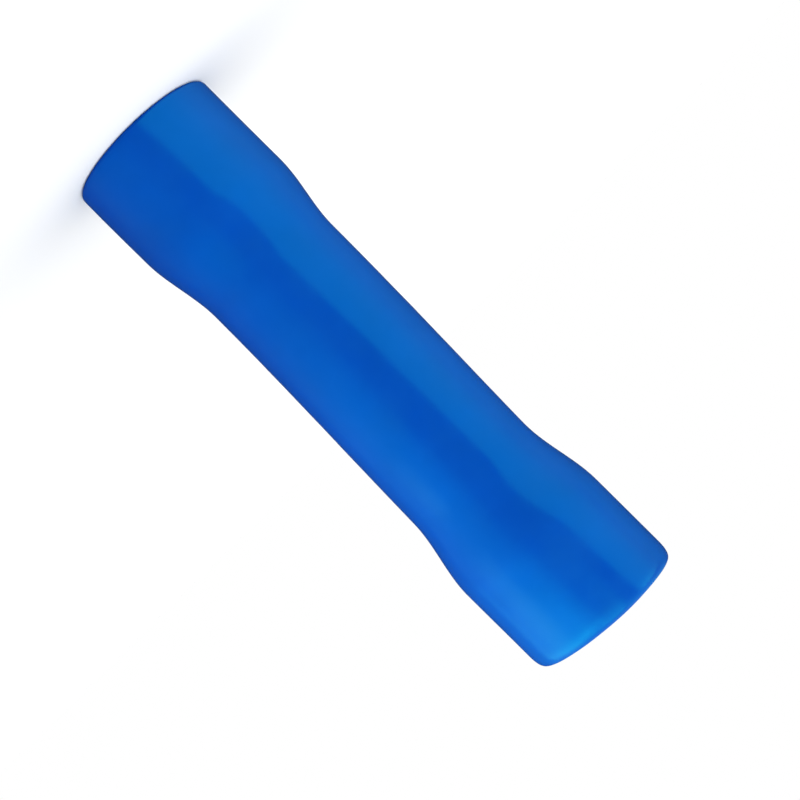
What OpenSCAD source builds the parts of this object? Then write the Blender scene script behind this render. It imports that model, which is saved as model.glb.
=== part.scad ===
// Insulated butt splice connector for joining two wires end to end.
// A tinned copper crimp barrel sits inside a blue PVC sleeve whose middle is
// necked down onto the barrel, leaving a wider mouth at each end for the wire.
// The part stands on one end: the origin is at the centre of the lower rim and
// +Z runs along the wire axis. Millimetres.

/* [Sleeve] */
// Overall length of the sleeve, rim to rim
sleeve_len = 25; // [24:0.5:30]
// Outside diameter of the two mouths
mouth_od = 6.45; // [6.3:0.05:7]
// Outside diameter of the necked waist
waist_od = 5.6; // [5.2:0.05:5.9]
// Wall thickness of the mouths
mouth_wall = 0.8; // [0.6:0.05:0.9]
// Length of each straight mouth, from its rim to where the neck begins
mouth_len = 3.8; // [3:0.1:4.5]
// Length of each S-shaped neck between mouth and waist
neck_len = 3.3; // [1.8:0.1:3.6]
// Rounding of the outer edge of each rim
rim_r = 0.2; // [0.1:0.05:0.25]
// Chamfer on the inner edge of each rim
rim_chamfer = 0.1; // [0.05:0.05:0.15]

/* [Barrel] */
// Length of the crimp barrel
barrel_len = 15; // [13:0.5:16]
// Bore of the crimp barrel, which takes the stripped conductor
barrel_bore = 2.3; // [2:0.05:2.6]
// Wall thickness of the crimp barrel
barrel_wall = 0.8; // [0.6:0.05:0.9]
// Lead-in chamfer at each end of the bore
lead_in = 0.2; // [0.1:0.05:0.3]
// Edge break on the outside of each barrel end
edge_break = 0.1; // [0.05:0.05:0.2]

/* [Wire stop] */
// Bore left inside the rolled stop bead at mid length
stop_bore = 1.2; // [0.8:0.1:1.6]
// Axial width of the rolled stop bead
stop_w = 1.8; // [1.4:0.1:2.4]

/* [Hidden] */
$fn = 96;

// Radii that the two pieces share: the waist of the sleeve grips the barrel.
mouth_r = mouth_od / 2;
mouth_ri = mouth_r - mouth_wall;
waist_r = waist_od / 2;
bore_r = barrel_bore / 2;
barrel_r = bore_r + barrel_wall;
barrel_z0 = (sleeve_len - barrel_len) / 2;
mid_z = sleeve_len / 2;

// Points of an S-curve made of two equal tangent arcs, from (r0, z0) to
// (r1, z1), leaving out its first point.
function s_curve(r0, z0, r1, z1, n = 8) =
    let (dr = r1 - r0, dz = z1 - z0,
         // radius and sweep of each arc
         rho = (dz * dz + dr * dr) / (4 * abs(dr)),
         sweep = asin(abs(dz) / 2 / rho),
         sr = sign(dr), sz = sign(dz))
    [for (i = [1 : 2 * n])
        let (t = i <= n ? i / n : (2 * n - i) / n,
             a = sweep * t,
             u = rho * sin(a), v = rho * (1 - cos(a)))
        i <= n ? [r0 + sr * v, z0 + sz * u]
               : [r1 - sr * v, z1 - sz * u]];

// Points of a quarter round of radius q about (cr, cz), from angle a0 to a1.
function round_edge(cr, cz, q, a0, a1, n = 6) =
    [for (i = [0 : n]) let (a = a0 + (a1 - a0) * i / n)
        [cr + q * cos(a), cz + q * sin(a)]];

// Depth of the rolled bead at height z: a smooth wave, deepest at mid length.
bead_d = bore_r - stop_bore / 2;
function bead(z) = abs(z - mid_z) >= stop_w / 2 ? 0
    : bead_d * (1 + cos(360 * (z - mid_z) / stop_w)) / 2;
bead_n = 24;
bead_z = [for (i = [0 : bead_n]) mid_z - stop_w / 2 + stop_w * i / bead_n];

// PVC sleeve, one piece: two straight mouths joined by a necked waist.
module insulating_sleeve() {
    top = sleeve_len;
    neck_top = top - mouth_len;
    outside = concat(
        round_edge(mouth_r - rim_r, rim_r, rim_r, -90, 0),
        [[mouth_r, mouth_len]],
        s_curve(mouth_r, mouth_len, waist_r, mouth_len + neck_len),
        [[waist_r, neck_top - neck_len]],
        s_curve(waist_r, neck_top - neck_len, mouth_r, neck_top),
        round_edge(mouth_r - rim_r, top - rim_r, rim_r, 0, 90));
    inside = concat(
        [[mouth_ri + rim_chamfer, top], [mouth_ri, top - rim_chamfer],
         [mouth_ri, neck_top]],
        s_curve(mouth_ri, neck_top, barrel_r, neck_top - neck_len),
        [[barrel_r, mouth_len + neck_len]],
        s_curve(barrel_r, mouth_len + neck_len, mouth_ri, mouth_len),
        [[mouth_ri, rim_chamfer], [mouth_ri + rim_chamfer, 0]]);
    color([0.0, 0.33, 0.75])
        rotate_extrude() polygon(concat(outside, inside));
}

// Tinned copper barrel: a tube with a bead rolled in at mid length, which
// stops both wires.
module crimp_barrel() {
    z0 = barrel_z0;
    z1 = barrel_z0 + barrel_len;
    outside = concat(
        [[barrel_r - edge_break, z0], [barrel_r, z0 + edge_break]],
        [for (z = bead_z) [barrel_r - bead(z), z]],
        [[barrel_r, z1 - edge_break], [barrel_r - edge_break, z1]]);
    inside = concat(
        [[bore_r + lead_in, z1], [bore_r, z1 - lead_in]],
        [for (i = [bead_n : -1 : 0]) [bore_r - bead(bead_z[i]), bead_z[i]]],
        [[bore_r, z0 + lead_in], [bore_r + lead_in, z0]]);
    color([0.74, 0.74, 0.73])
        rotate_extrude() polygon(concat(outside, inside));
}

insulating_sleeve();
crimp_barrel();
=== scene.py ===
"""Looks of an insulated butt splice connector: a blue PVC sleeve and the tinned
copper barrel inside it, standing on one end on a pale floor. Metres, +Z up."""
import math

import bpy
from mathutils import Matrix, Vector, noise


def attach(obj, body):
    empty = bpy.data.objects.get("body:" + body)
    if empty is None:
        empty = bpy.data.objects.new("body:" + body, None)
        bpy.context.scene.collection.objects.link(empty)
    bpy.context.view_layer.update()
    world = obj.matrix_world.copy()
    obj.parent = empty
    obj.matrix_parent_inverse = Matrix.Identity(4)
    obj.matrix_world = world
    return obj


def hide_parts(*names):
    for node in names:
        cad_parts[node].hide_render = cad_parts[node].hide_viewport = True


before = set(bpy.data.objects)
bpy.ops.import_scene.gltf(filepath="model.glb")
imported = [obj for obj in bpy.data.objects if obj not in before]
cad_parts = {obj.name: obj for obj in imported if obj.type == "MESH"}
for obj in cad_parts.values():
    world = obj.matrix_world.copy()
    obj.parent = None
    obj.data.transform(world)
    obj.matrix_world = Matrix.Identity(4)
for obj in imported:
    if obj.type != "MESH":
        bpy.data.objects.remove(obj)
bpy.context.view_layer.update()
scene = bpy.context.scene
MM = 0.001

# ---------------------------------------------------------------- camera
# It looks level at the side of the part, and is rolled so that the part lies
# across the picture from upper left (the foot) to lower right (the top).
CAM_DIST = 59.6 * MM
CAM_HEIGHT = 13.9 * MM
AXIS_ANGLE = math.radians(45.47)
cam_data = bpy.data.cameras.new("camera")
cam_data.sensor_fit = "AUTO"
cam_data.sensor_width = 36.0
cam_data.lens = 1567.0 / 800.0 * 36.0
cam_data.clip_start = 0.002
cam_data.clip_end = 20.0
cam_data.dof.use_dof = False
cam = bpy.data.objects.new("camera", cam_data)
scene.collection.objects.link(cam)
ca, sa = math.cos(AXIS_ANGLE), math.sin(AXIS_ANGLE)
right, up, back = Vector((-sa, 0, ca)), Vector((-ca, 0, -sa)), Vector((0, -1, 0))
cam.matrix_world = Matrix.Translation((-0.06 * MM, -CAM_DIST, CAM_HEIGHT)) @ Matrix(
    (right, up, back)
).transposed().to_4x4()
scene.camera = cam

# ---------------------------------------------------------------- shape
LENGTH = 25.05


def smooth(t):
    t = min(max(t, 0.0), 1.0)
    return t * t * (3.0 - 2.0 * t)


def along(z, points):
    """Smooth curve through a few (height, value) points."""
    if z <= points[0][0]:
        return points[0][1]
    for (z0, v0), (z1, v1) in zip(points, points[1:]):
        if z <= z1:
            return v0 + (v1 - v0) * smooth((z - z0) / (z1 - z0))
    return points[-1][1]


# The forming of the neck leaves the waist a little off the line of the mouths,
# the necks a little out of square, and the upper mouth a little wider.
def off_line(z):
    return along(z, [(0.0, 0.0), (8.5, -0.09), (19.5, 0.04), (25.0, -0.02)])


def out_of_square(z):
    return along(z, [(0.0, 0.0), (5.0, 0.11), (19.0, 0.035), (25.0, 0.05)])


def necks(z):
    """0 in the lower mouth, 1 in the waist and 2 in the upper mouth."""
    return smooth((z - 3.84) / 3.24), smooth((z - 17.73) / 3.37)


def outer_r(z):
    low, high = necks(z)
    waist = 2.812 + 0.02 * (z - 6.5) / 12.0
    r = 3.2 + (waist - 3.2) * low
    return r + (3.29 - r) * high


def inner_r(z):
    low, high = necks(z)
    r = 2.4 + (1.955 - 2.4) * low
    return r + (2.48 - r) * high


def warped(x, y, z):
    """The part's own small unevenness, which both pieces share."""
    return Vector((x + off_line(z), y, z - out_of_square(z) * x)) * MM


def fbm(p, size, seed):
    """Soft noise of the given feature size in millimetres."""
    return noise.noise(Vector((p[0] / size, p[1] / size, p[2] / size + seed * 17.3)))


def revolved(name, profile, sectors, bumpy):
    """A closed body of revolution from a closed profile of (r, z, part) points.
    part says which face of the body a point is on, and each has its own island
    in the UV map."""
    rows = len(profile)
    verts, faces = [], []
    for r, z, part in profile:
        for k in range(sectors):
            a = 2.0 * math.pi * k / sectors
            c, s = math.cos(a), math.sin(a)
            dr, dz = bumpy(r, z, part, r * c, r * s)
            verts.append(warped((r + dr) * c, (r + dr) * s, z + dz))
    for i in range(rows):
        j = (i + 1) % rows
        for k in range(sectors):
            m = (k + 1) % sectors
            faces.append(
                (i * sectors + k, i * sectors + m, j * sectors + m, j * sectors + k)
            )
    mesh = bpy.data.meshes.new(name)
    mesh.from_pydata(verts, [], faces)
    # one island per stretch of the profile, all at one scale
    steps = [
        math.hypot(
            profile[(i + 1) % rows][0] - profile[i][0],
            profile[(i + 1) % rows][1] - profile[i][1],
        )
        for i in range(rows)
    ]
    islands, order = {}, []
    for i in range(rows):
        part = profile[i][2]
        if part not in islands:
            islands[part] = [0.0, 0.0]
            order.append(part)
        islands[part][0] += steps[i]
        islands[part][1] = max(
            islands[part][1], profile[i][0], profile[(i + 1) % rows][0]
        )
    gap, x0, place, tall = 0.4, 0.4, {}, 0.0
    wide = sum(islands[p][1] * 2.0 * math.pi + gap for p in order) + gap
    for p in order:
        place[p] = x0
        x0 += islands[p][1] * 2.0 * math.pi + gap
        tall = max(tall, islands[p][0])
    scale = 1.0 / max(wide, tall + 2.0 * gap)
    uv = mesh.uv_layers.new(name="OFBake")
    run, f = {p: gap for p in order}, 0
    for i in range(rows):
        part = profile[i][2]
        v0, v1 = run[part], run[part] + steps[i]
        run[part] = v1
        width = islands[part][1] * 2.0 * math.pi
        for k in range(sectors):
            u0 = place[part] + width * k / sectors
            u1 = place[part] + width * (k + 1) / sectors
            for corner, (u, v) in enumerate(
                ((u0, v0), (u1, v0), (u1, v1), (u0, v1))
            ):
                uv.data[f * 4 + corner].uv = (u * scale, v * scale)
            f += 1
    mesh.polygons.foreach_set("use_smooth", [True] * len(mesh.polygons))
    mesh.update()
    piece = bpy.data.objects.new(name, mesh)
    scene.collection.objects.link(piece)
    return piece


def stretch(z0, z1, n):
    return [z0 + (z1 - z0) * i / n for i in range(n + 1)]


# Sleeve: foot rim, outside, top rim, inside. The outer edge of the top rim is
# drawn in over a longer stretch than that of the foot.
ROUND, SOFT = 0.18, 0.10
DRAW_R, DRAW_Z = 0.19, 0.75


def sleeve_profile():
    out = []
    ro, ri = outer_r(0.0), inner_r(0.0)
    for i in range(4):
        out.append((ri + SOFT + (ro - ROUND - ri - SOFT) * i / 4.0, 0.0, "outside"))
    for i in range(8):
        a = math.radians(-90.0 + 90.0 * i / 8.0)
        out.append(
            (ro - ROUND + ROUND * math.cos(a), ROUND + ROUND * math.sin(a), "outside")
        )
    zs = (
        stretch(ROUND, 3.4, 10)[:-1]
        + stretch(3.4, 7.4, 32)[:-1]
        + stretch(7.4, 17.4, 28)[:-1]
        + stretch(17.4, 21.4, 32)[:-1]
        + stretch(21.4, LENGTH - DRAW_Z, 9)
    )
    out += [(outer_r(z), z, "outside") for z in zs]
    ro, ri = outer_r(LENGTH), inner_r(LENGTH)
    for i in range(1, 21):
        a = math.radians(90.0 * i / 20.0)
        out.append(
            (
                ro - DRAW_R + DRAW_R * math.cos(a),
                LENGTH - DRAW_Z + DRAW_Z * math.sin(a) ** 0.667,
                "outside",
            )
        )
    for i in range(1, 5):
        out.append(
            (
                ro - DRAW_R + (ri + SOFT - ro + DRAW_R) * i / 4.0,
                LENGTH,
                "outside" if i < 4 else "inside",
            )
        )
    for i in range(1, 6):
        a = math.radians(90.0 + 90.0 * i / 5.0)
        out.append(
            (
                ri + SOFT + SOFT * math.cos(a),
                LENGTH - SOFT + SOFT * math.sin(a),
                "inside",
            )
        )
    zs = (
        stretch(LENGTH - SOFT, 21.4, 8)[1:-1]
        + stretch(21.4, 17.4, 26)[:-1]
        + stretch(17.4, 7.4, 10)[:-1]
        + stretch(7.4, 3.4, 26)[:-1]
        + stretch(3.4, SOFT, 8)
    )
    out += [(inner_r(z), z, "inside") for z in zs]
    ri = inner_r(0.0)
    for i in range(1, 5):
        a = math.radians(180.0 + 90.0 * i / 5.0)
        out.append(
            (ri + SOFT + SOFT * math.cos(a), SOFT + SOFT * math.sin(a), "inside")
        )
    return out


def sleeve_bumps(r, z, part, x, y):
    # soft waves of a drawn and pressed tube; the foot stays flat
    hold = smooth((z - 0.0) / 1.2)
    dr = 0.010 * fbm((x, y, z * 0.6), 3.6, 1) + 0.004 * fbm((x, y, z), 1.3, 2)
    dz = 0.0
    if z > 24.0:
        dz = 0.016 * fbm((x, y, 0.0), 1.7, 3) * smooth((z - 24.0) / 0.8)
    return dr * hold, dz


sleeve = revolved("pvc_sleeve", sleeve_profile(), 216, sleeve_bumps)

# Barrel: a cut tube with a rolled bead at mid length.
BARREL_R, BORE_R, Z0, Z1, MID = 1.95, 1.15, 5.0, 20.0, 12.5
BEAD_D, BEAD_W = 0.55, 1.8


def bead(z):
    if abs(z - MID) >= BEAD_W / 2.0:
        return 0.0
    return BEAD_D * (1.0 + math.cos(2.0 * math.pi * (z - MID) / BEAD_W)) / 2.0


def barrel_profile():
    out, edge, lead = [], 0.10, 0.16
    # lower cut face, with a turned-in burr at the bore and a broken outer edge
    for i in range(6):
        a = math.radians(180.0 + 90.0 * i / 5.0)
        out.append(
            (BORE_R + lead + lead * math.cos(a), Z0 + lead + lead * math.sin(a), "tube")
        )
    for i in range(1, 5):
        out.append((BORE_R + lead + (BARREL_R - edge - BORE_R - lead) * i / 4.0, Z0, "tube"))
    for i in range(1, 6):
        a = math.radians(-90.0 + 90.0 * i / 5.0)
        out.append(
            (BARREL_R - edge + edge * math.cos(a), Z0 + edge + edge * math.sin(a), "tube")
        )
    zs = (
        stretch(Z0 + edge, MID - BEAD_W / 2.0, 8)[1:-1]
        + stretch(MID - BEAD_W / 2.0, MID + BEAD_W / 2.0, 24)[:-1]
        + stretch(MID + BEAD_W / 2.0, Z1 - edge, 8)
    )
    out += [(BARREL_R - bead(z), z, "tube") for z in zs]
    for i in range(1, 6):
        a = math.radians(90.0 * i / 5.0)
        out.append(
            (BARREL_R - edge + edge * math.cos(a), Z1 - edge + edge * math.sin(a), "tube")
        )
    for i in range(1, 5):
        out.append(
            (
                BARREL_R - edge + (BORE_R + lead - BARREL_R + edge) * i / 4.0,
                Z1,
                "tube" if i < 4 else "bore",
            )
        )
    for i in range(1, 6):
        a = math.radians(90.0 + 90.0 * i / 5.0)
        out.append(
            (BORE_R + lead + lead * math.cos(a), Z1 - lead + lead * math.sin(a), "bore")
        )
    zs = (
        stretch(Z1 - lead, MID + BEAD_W / 2.0, 8)[1:-1]
        + stretch(MID + BEAD_W / 2.0, MID - BEAD_W / 2.0, 32)[:-1]
        + stretch(MID - BEAD_W / 2.0, Z0 + lead, 8)[:-1]
    )
    out += [(BORE_R - bead(z), z, "bore") for z in zs]
    return out


def barrel_bumps(r, z, part, x, y):
    dr = 0.004 * fbm((x, y, z * 0.4), 1.6, 5)
    dz = 0.006 * fbm((x, y, 0.0), 0.9, 6) if z < Z0 + 0.3 or z > Z1 - 0.3 else 0.0
    return dr, dz


barrel = revolved("tinned_barrel", barrel_profile(), 160, barrel_bumps)

# ---------------------------------------------------------------- materials


def nodes_of(name):
    mat = bpy.data.materials.new(name)
    mat.use_nodes = True
    tree = mat.node_tree
    return mat, tree.nodes, tree.links, tree.nodes["Principled BSDF"]


def noise_node(nodes, links, coords, scale, detail=2.0, rough=0.5):
    n = nodes.new("ShaderNodeTexNoise")
    n.inputs["Scale"].default_value = scale
    n.inputs["Detail"].default_value = detail
    n.inputs["Roughness"].default_value = rough
    links.new(coords, n.inputs["Vector"])
    return n.outputs["Fac"]


def ramp(nodes, links, fac, lo, hi, v0, v1):
    n = nodes.new("ShaderNodeMapRange")
    n.inputs["From Min"].default_value = lo
    n.inputs["From Max"].default_value = hi
    n.inputs["To Min"].default_value = v0
    n.inputs["To Max"].default_value = v1
    links.new(fac, n.inputs["Value"])
    return n.outputs["Result"]


def stretched(nodes, links, coords, scale):
    n = nodes.new("ShaderNodeMapping")
    n.inputs["Scale"].default_value = scale
    links.new(coords, n.inputs["Vector"])
    return n.outputs["Vector"]


def blue_pvc():
    mat, nodes, links, bsdf = nodes_of("blue_pvc")
    coords = nodes.new("ShaderNodeTexCoord").outputs["Object"]
    # cloudy pigment
    cloud = noise_node(nodes, links, coords, 420.0, 3.0, 0.55)
    mix = nodes.new("ShaderNodeMix")
    mix.data_type = "RGBA"
    mix.inputs["A"].default_value = (0.0, 0.053, 0.412, 1.0)
    mix.inputs["B"].default_value = (0.0, 0.060, 0.456, 1.0)
    links.new(ramp(nodes, links, cloud, 0.3, 0.7, 0.0, 1.0), mix.inputs["Factor"])
    links.new(mix.outputs["Result"], bsdf.inputs["Base Color"])
    # satin skin, uneven where the tool pressed it, and duller inside and on the
    # cut face of the upper rim
    satin = noise_node(nodes, links, coords, 700.0, 4.0, 0.6)
    from_axis = nodes.new("ShaderNodeVectorMath")
    from_axis.operation = "LENGTH"
    links.new(stretched(nodes, links, coords, (1.0, 1.0, 0.0)), from_axis.inputs[0])
    inside = ramp(nodes, links, from_axis.outputs["Value"], 0.00255, 0.00265, 1.0, 0.0)
    from_foot = nodes.new("ShaderNodeVectorMath")
    from_foot.operation = "DOT_PRODUCT"
    links.new(coords, from_foot.inputs[0])
    from_foot.inputs[1].default_value = (out_of_square(LENGTH), 0.0, 1.0)
    cut = ramp(nodes, links, from_foot.outputs["Value"], 0.0250, 0.02504, 0.0, 1.0)
    bare = nodes.new("ShaderNodeMath")
    bare.operation = "MAXIMUM"
    links.new(inside, bare.inputs[0])
    links.new(cut, bare.inputs[1])
    dull = nodes.new("ShaderNodeMath")
    dull.operation = "MULTIPLY_ADD"
    links.new(bare.outputs["Value"], dull.inputs[0])
    dull.inputs[1].default_value = 0.34
    links.new(ramp(nodes, links, satin, 0.3, 0.7, 0.19, 0.27), dull.inputs[2])
    links.new(dull.outputs["Value"], bsdf.inputs["Roughness"])
    # faint draw lines along the tube, and a fine grain
    lines = noise_node(
        nodes, links, stretched(nodes, links, coords, (1.0, 1.0, 0.05)), 2600.0, 2.0
    )
    grain = noise_node(nodes, links, coords, 5200.0, 2.0)
    height = nodes.new("ShaderNodeMath")
    height.operation = "MULTIPLY_ADD"
    links.new(lines, height.inputs[0])
    height.inputs[1].default_value = 0.6
    links.new(grain, height.inputs[2])
    bump = nodes.new("ShaderNodeBump")
    bump.inputs["Strength"].default_value = 0.05
    bump.inputs["Distance"].default_value = 0.00004
    links.new(height.outputs["Value"], bump.inputs["Height"])
    links.new(bump.outputs["Normal"], bsdf.inputs["Normal"])
    bsdf.inputs["IOR"].default_value = 1.6
    bsdf.inputs["Specular IOR Level"].default_value = 0.5
    bsdf.inputs["Specular Tint"].default_value = (0.1, 1.0, 0.75, 1.0)
    return mat


def tinned_copper():
    mat, nodes, links, bsdf = nodes_of("tinned_copper")
    coords = nodes.new("ShaderNodeTexCoord").outputs["Object"]
    patches = noise_node(nodes, links, coords, 900.0, 4.0, 0.6)
    mix = nodes.new("ShaderNodeMix")
    mix.data_type = "RGBA"
    mix.inputs["A"].default_value = (0.60, 0.59, 0.565, 1.0)
    mix.inputs["B"].default_value = (0.80, 0.79, 0.77, 1.0)
    links.new(ramp(nodes, links, patches, 0.3, 0.7, 0.0, 1.0), mix.inputs["Factor"])
    links.new(mix.outputs["Result"], bsdf.inputs["Base Color"])
    dull = noise_node(nodes, links, coords, 1600.0, 3.0, 0.6)
    links.new(
        ramp(nodes, links, dull, 0.3, 0.7, 0.22, 0.40), bsdf.inputs["Roughness"]
    )
    # drawn tube: fine scratches along its length
    lines = noise_node(
        nodes, links, stretched(nodes, links, coords, (1.0, 1.0, 0.03)), 5200.0, 2.0
    )
    bump = nodes.new("ShaderNodeBump")
    bump.inputs["Strength"].default_value = 0.25
    bump.inputs["Distance"].default_value = 0.00002
    links.new(lines, bump.inputs["Height"])
    links.new(bump.outputs["Normal"], bsdf.inputs["Normal"])
    bsdf.inputs["Metallic"].default_value = 1.0
    return mat


sleeve.data.materials.append(blue_pvc())
barrel.data.materials.append(tinned_copper())
for piece, node, name in (
    (sleeve, "insulating_sleeve", "blue_pvc"),
    (barrel, "crimp_barrel", "tinned_copper"),
):
    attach(piece, "root")
    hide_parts(node)

# ---------------------------------------------------------------- floor
floor_mesh = bpy.data.meshes.new("floor")
rings = [0.0, 0.02, 0.05, 0.1, 0.2, 0.4, 0.8, 1.5]
fv, ff = [(0.0, 0.0, 0.0)], []
for r in rings[1:]:
    for k in range(96):
        a = 2.0 * math.pi * k / 96
        fv.append((r * math.cos(a), r * math.sin(a), 0.0))
for k in range(96):
    ff.append((0, 1 + k, 1 + (k + 1) % 96))
for i in range(len(rings) - 2):
    for k in range(96):
        m = (k + 1) % 96
        ff.append((1 + i * 96 + k, 1 + (i + 1) * 96 + k, 1 + (i + 1) * 96 + m, 1 + i * 96 + m))
floor_mesh.from_pydata(fv, [], ff)
floor = bpy.data.objects.new("floor", floor_mesh)
scene.collection.objects.link(floor)
floor_mat, fnodes, flinks, fb = nodes_of("pale_floor")
fcoords = fnodes.new("ShaderNodeTexCoord").outputs["Object"]
fmix = fnodes.new("ShaderNodeMix")
fmix.data_type = "RGBA"
fmix.inputs["A"].default_value = (0.91, 0.91, 0.91, 1.0)
fmix.inputs["B"].default_value = (0.94, 0.94, 0.94, 1.0)
flinks.new(noise_node(fnodes, flinks, fcoords, 60.0, 3.0), fmix.inputs["Factor"])
flinks.new(fmix.outputs["Result"], fb.inputs["Base Color"])
fb.inputs["Roughness"].default_value = 0.9
fb.inputs["Specular IOR Level"].default_value = 0.1
floor.data.materials.append(floor_mat)
floor.visible_glossy = False
floor.visible_shadow = False

# ---------------------------------------------------------------- light
# A pale studio: even light from all round, dimmer behind the part, a cool white
# panel close by on the left, and a tall one on the right that is brightest level
# with the top of the part.
world = bpy.data.worlds.new("studio")
scene.world = world
world.use_nodes = True


def calc(tree, op, a, b=None, c=None):
    n = tree.nodes.new("ShaderNodeMath")
    n.operation = op
    for socket, v in zip(n.inputs, (a, b, c)):
        if v is None:
            continue
        if isinstance(v, (int, float)):
            socket.default_value = v
        else:
            tree.links.new(v, socket)
    return n.outputs["Value"]


def fade(tree, value, lo, hi, v0=0.0, v1=1.0):
    n = tree.nodes.new("ShaderNodeMapRange")
    n.interpolation_type = "SMOOTHSTEP"
    n.inputs["From Min"].default_value = lo
    n.inputs["From Max"].default_value = hi
    n.inputs["To Min"].default_value = v0
    n.inputs["To Max"].default_value = v1
    tree.links.new(value, n.inputs["Value"])
    return n.outputs["Result"]


wt = world.node_tree
wt.nodes.clear()
w_out = wt.nodes.new("ShaderNodeOutputWorld")
direction = wt.nodes.new("ShaderNodeTexCoord").outputs["Generated"]
xyz = wt.nodes.new("ShaderNodeSeparateXYZ")
wt.links.new(direction, xyz.inputs[0])
turn = calc(
    wt,
    "DEGREES",
    calc(wt, "ARCTAN2", xyz.outputs["X"], calc(wt, "MULTIPLY", xyz.outputs["Y"], -1.0)),
)
rise = calc(wt, "DEGREES", calc(wt, "ARCSINE", xyz.outputs["Z"]))
away = calc(wt, "ABSOLUTE", turn)
# colour: even, dimmer behind and low on the right, brighter overhead
even = fade(wt, away, 90.0, 150.0, 1.19, 0.5)
low_right = calc(wt, "MULTIPLY", fade(wt, turn, 0.0, 60.0), fade(wt, rise, 5.0, 45.0, 1.0, 0.0))
even = calc(wt, "MULTIPLY", even, calc(wt, "MULTIPLY_ADD", low_right, -0.45, 1.0))
overhead = fade(wt, rise, 35.0, 75.0)
even = calc(wt, "MULTIPLY_ADD", overhead, calc(wt, "SUBTRACT", 1.75, even), even)
# gloss: a pale glow behind the part, a ceiling that is white overhead and cooler
# towards its edges, and dark elsewhere
glow = fade(wt, away, 85.0, 125.0, 0.02, 0.05)
ceiling = fade(wt, rise, 22.0, 50.0, 0.0, 1.1)
cool = calc(wt, "MULTIPLY", ceiling, fade(wt, rise, 55.0, 72.0, 0.3, 1.0))
gloss = wt.nodes.new("ShaderNodeCombineColor")
for channel, share, top in (("Red", 0.5, cool), ("Green", 1.0, ceiling), ("Blue", 1.0, ceiling)):
    wt.links.new(calc(wt, "MULTIPLY_ADD", glow, share, top), gloss.inputs[channel])

path = wt.nodes.new("ShaderNodeLightPath")
shades = []
for socket, value in (("Strength", even), ("Color", gloss.outputs["Color"]), ("", None)):
    bg = wt.nodes.new("ShaderNodeBackground")
    bg.inputs["Color"].default_value = (1.0, 1.0, 1.0, 1.0)
    bg.inputs["Strength"].default_value = 1.0
    if socket:
        wt.links.new(value, bg.inputs[socket])
    shades.append(bg.outputs[0])
mixed = shades[0]
for ray, other in (("Is Glossy Ray", shades[1]), ("Is Camera Ray", shades[2])):
    m = wt.nodes.new("ShaderNodeMixShader")
    wt.links.new(path.outputs[ray], m.inputs[0])
    wt.links.new(mixed, m.inputs[1])
    wt.links.new(other, m.inputs[2])
    mixed = m.outputs[0]
wt.links.new(mixed, w_out.inputs["Surface"])
world.cycles.sampling_method = "NONE"


def panel(name, centre, across, along_it, size, radiance, gloss, spread=180.0):
    """A soft light panel, in millimetres: it lights either the gloss or the
    colour of what it faces. It faces away from across x along_it."""
    data = bpy.data.lights.new(name, "AREA")
    data.shape = "RECTANGLE"
    data.size, data.size_y = size[0] * MM, size[1] * MM
    data.energy = radiance * math.pi * data.size * data.size_y
    data.spread = math.radians(spread)
    data.use_nodes = True
    ob = bpy.data.objects.new(name, data)
    scene.collection.objects.link(ob)
    x = Vector(across).normalized()
    y = Vector(along_it)
    y = (y - y.dot(x) * x).normalized()
    z = x.cross(y)
    ob.matrix_world = Matrix.Translation(Vector(centre) * MM) @ Matrix((x, y, z)).transposed().to_4x4()
    ob.visible_camera = False
    ob.visible_diffuse = not gloss
    ob.visible_glossy = gloss
    tree = data.node_tree
    place = tree.nodes.new("ShaderNodeSeparateXYZ")
    tree.links.new(tree.nodes.new("ShaderNodeNewGeometry").outputs["Position"], place.inputs[0])
    return data, tree, place, tree.nodes["Emission"].inputs["Strength"]


def level(tree, place, upward, sideways):
    """Brightness over a panel: the sum of fades in height times the product of
    fades in depth, each (low, high, value below, value above) in millimetres."""
    total = None
    for lo, hi, v0, v1 in upward:
        f = fade(tree, place.outputs["Z"], lo * MM, hi * MM, v0, v1)
        total = f if total is None else calc(tree, "ADD", total, f)
    for lo, hi, v0, v1 in sideways:
        f = fade(tree, place.outputs["Y"], lo * MM, hi * MM, v0, v1)
        total = f if total is None else calc(tree, "MULTIPLY", total, f)
    return total


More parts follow.
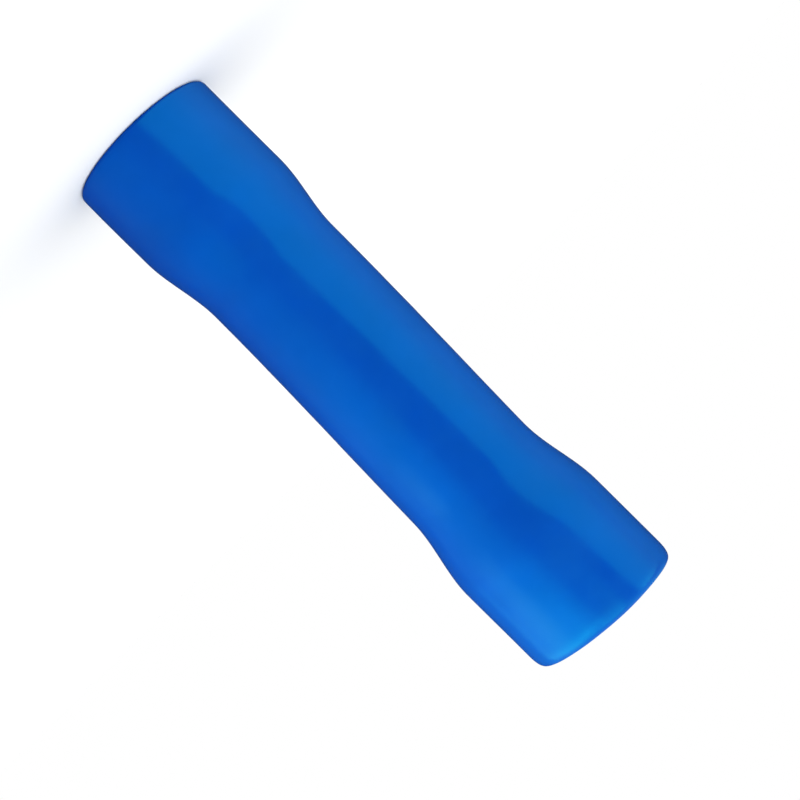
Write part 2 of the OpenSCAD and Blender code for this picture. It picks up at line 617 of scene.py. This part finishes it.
# name, centre, across, along, size, brightness, red share, fades upwards and in depth
GLOSS = (
    # left: its near edge leans back towards the top, where it is brighter
    ("panel_left", (-19.6, -4.1, 11.6), (-0.322, 0.187, 0.928), (-0.5, 0.866, 0.0), (57.0, 34.0), 1.15, 0.22,
     ((29.0, 36.0, 1.0, 1.8),), ((-10.0, 12.0, 1.0, 0.22),)),
    # right: brightest above mid height, and fading out towards the camera
    ("panel_right", (17.0, -16.5, 22.0), (0.375, 0.927, 0.0), (0.0, 0.0, 1.0), (62.0, 64.0), 1.1, 0.2,
     ((3.0, 15.0, 0.25, 0.8), (22.0, 36.0, 0.0, 3.4), (34.0, 42.0, 0.0, -2.5), (40.0, 52.0, 0.0, -1.6)),
     ((-44.0, -12.0, 0.0, 1.0), (-8.0, 14.0, 1.0, 0.3))),
    # behind, on both sides: dim
    ("panel_back_left", (-19.2, 16.1, 12.0), (-0.643, -0.766, 0.0), (0.0, 0.0, 1.0), (30.0, 60.0), 0.38, 0.12,
     (), ((4.0, 10.0, 0.0, 1.0), (8.0, 24.0, 1.0, 0.08))),
    ("panel_back_right", (19.2, 16.1, 20.0), (-0.643, 0.766, 0.0), (0.0, 0.0, 1.0), (30.0, 44.0), 0.47, 0.12,
     ((4.0, 18.0, 0.1, 0.5), (18.0, 34.0, 0.0, 0.9)), ((4.0, 10.0, 0.0, 1.0), (8.0, 24.0, 1.0, 0.1))),
    # high in front: they light the upper rim and just below it
    ("panel_top", (12.0, -24.0, 38.0), (0.83, 0.555, 0.0), (0.0, 0.0, 1.0), (14.4, 22.0), 0.9, 0.3,
     ((27.0, 35.0, 0.0, 1.0),), ()),
    ("panel_top_front", (-2.0, -30.0, 40.0), (1.0, 0.0, 0.0), (0.0, 0.0, 1.0), (22.0, 28.0), 1.6, 0.3,
     ((26.8, 35.0, 0.0, 1.0),), ()),
)
for name, centre, across, along_it, size, radiance, red, upward, sideways in GLOSS:
    data, tree, place, strength = panel(name, centre, across, along_it, size, radiance, True)
    data.color = (red, 1.0, 1.0)
    tree.links.new(level(tree, place, upward, sideways), strength)
panel(
    "softbox_right", (23.1, -6.6, 24.0), (0.276, 0.961, 0.0), (0.0, 0.0, 1.0), (14.0, 14.0), 1.7, False, 105.0
)
panel(
    "softbox_front", (-1.0, -11.0, 38.0), (1.0, 0.0, 0.0), (0.0, 0.85, 0.527), (14.0, 14.0), 1.05, False
)

scene.view_settings.view_transform = "Standard"
scene.view_settings.look = "None"
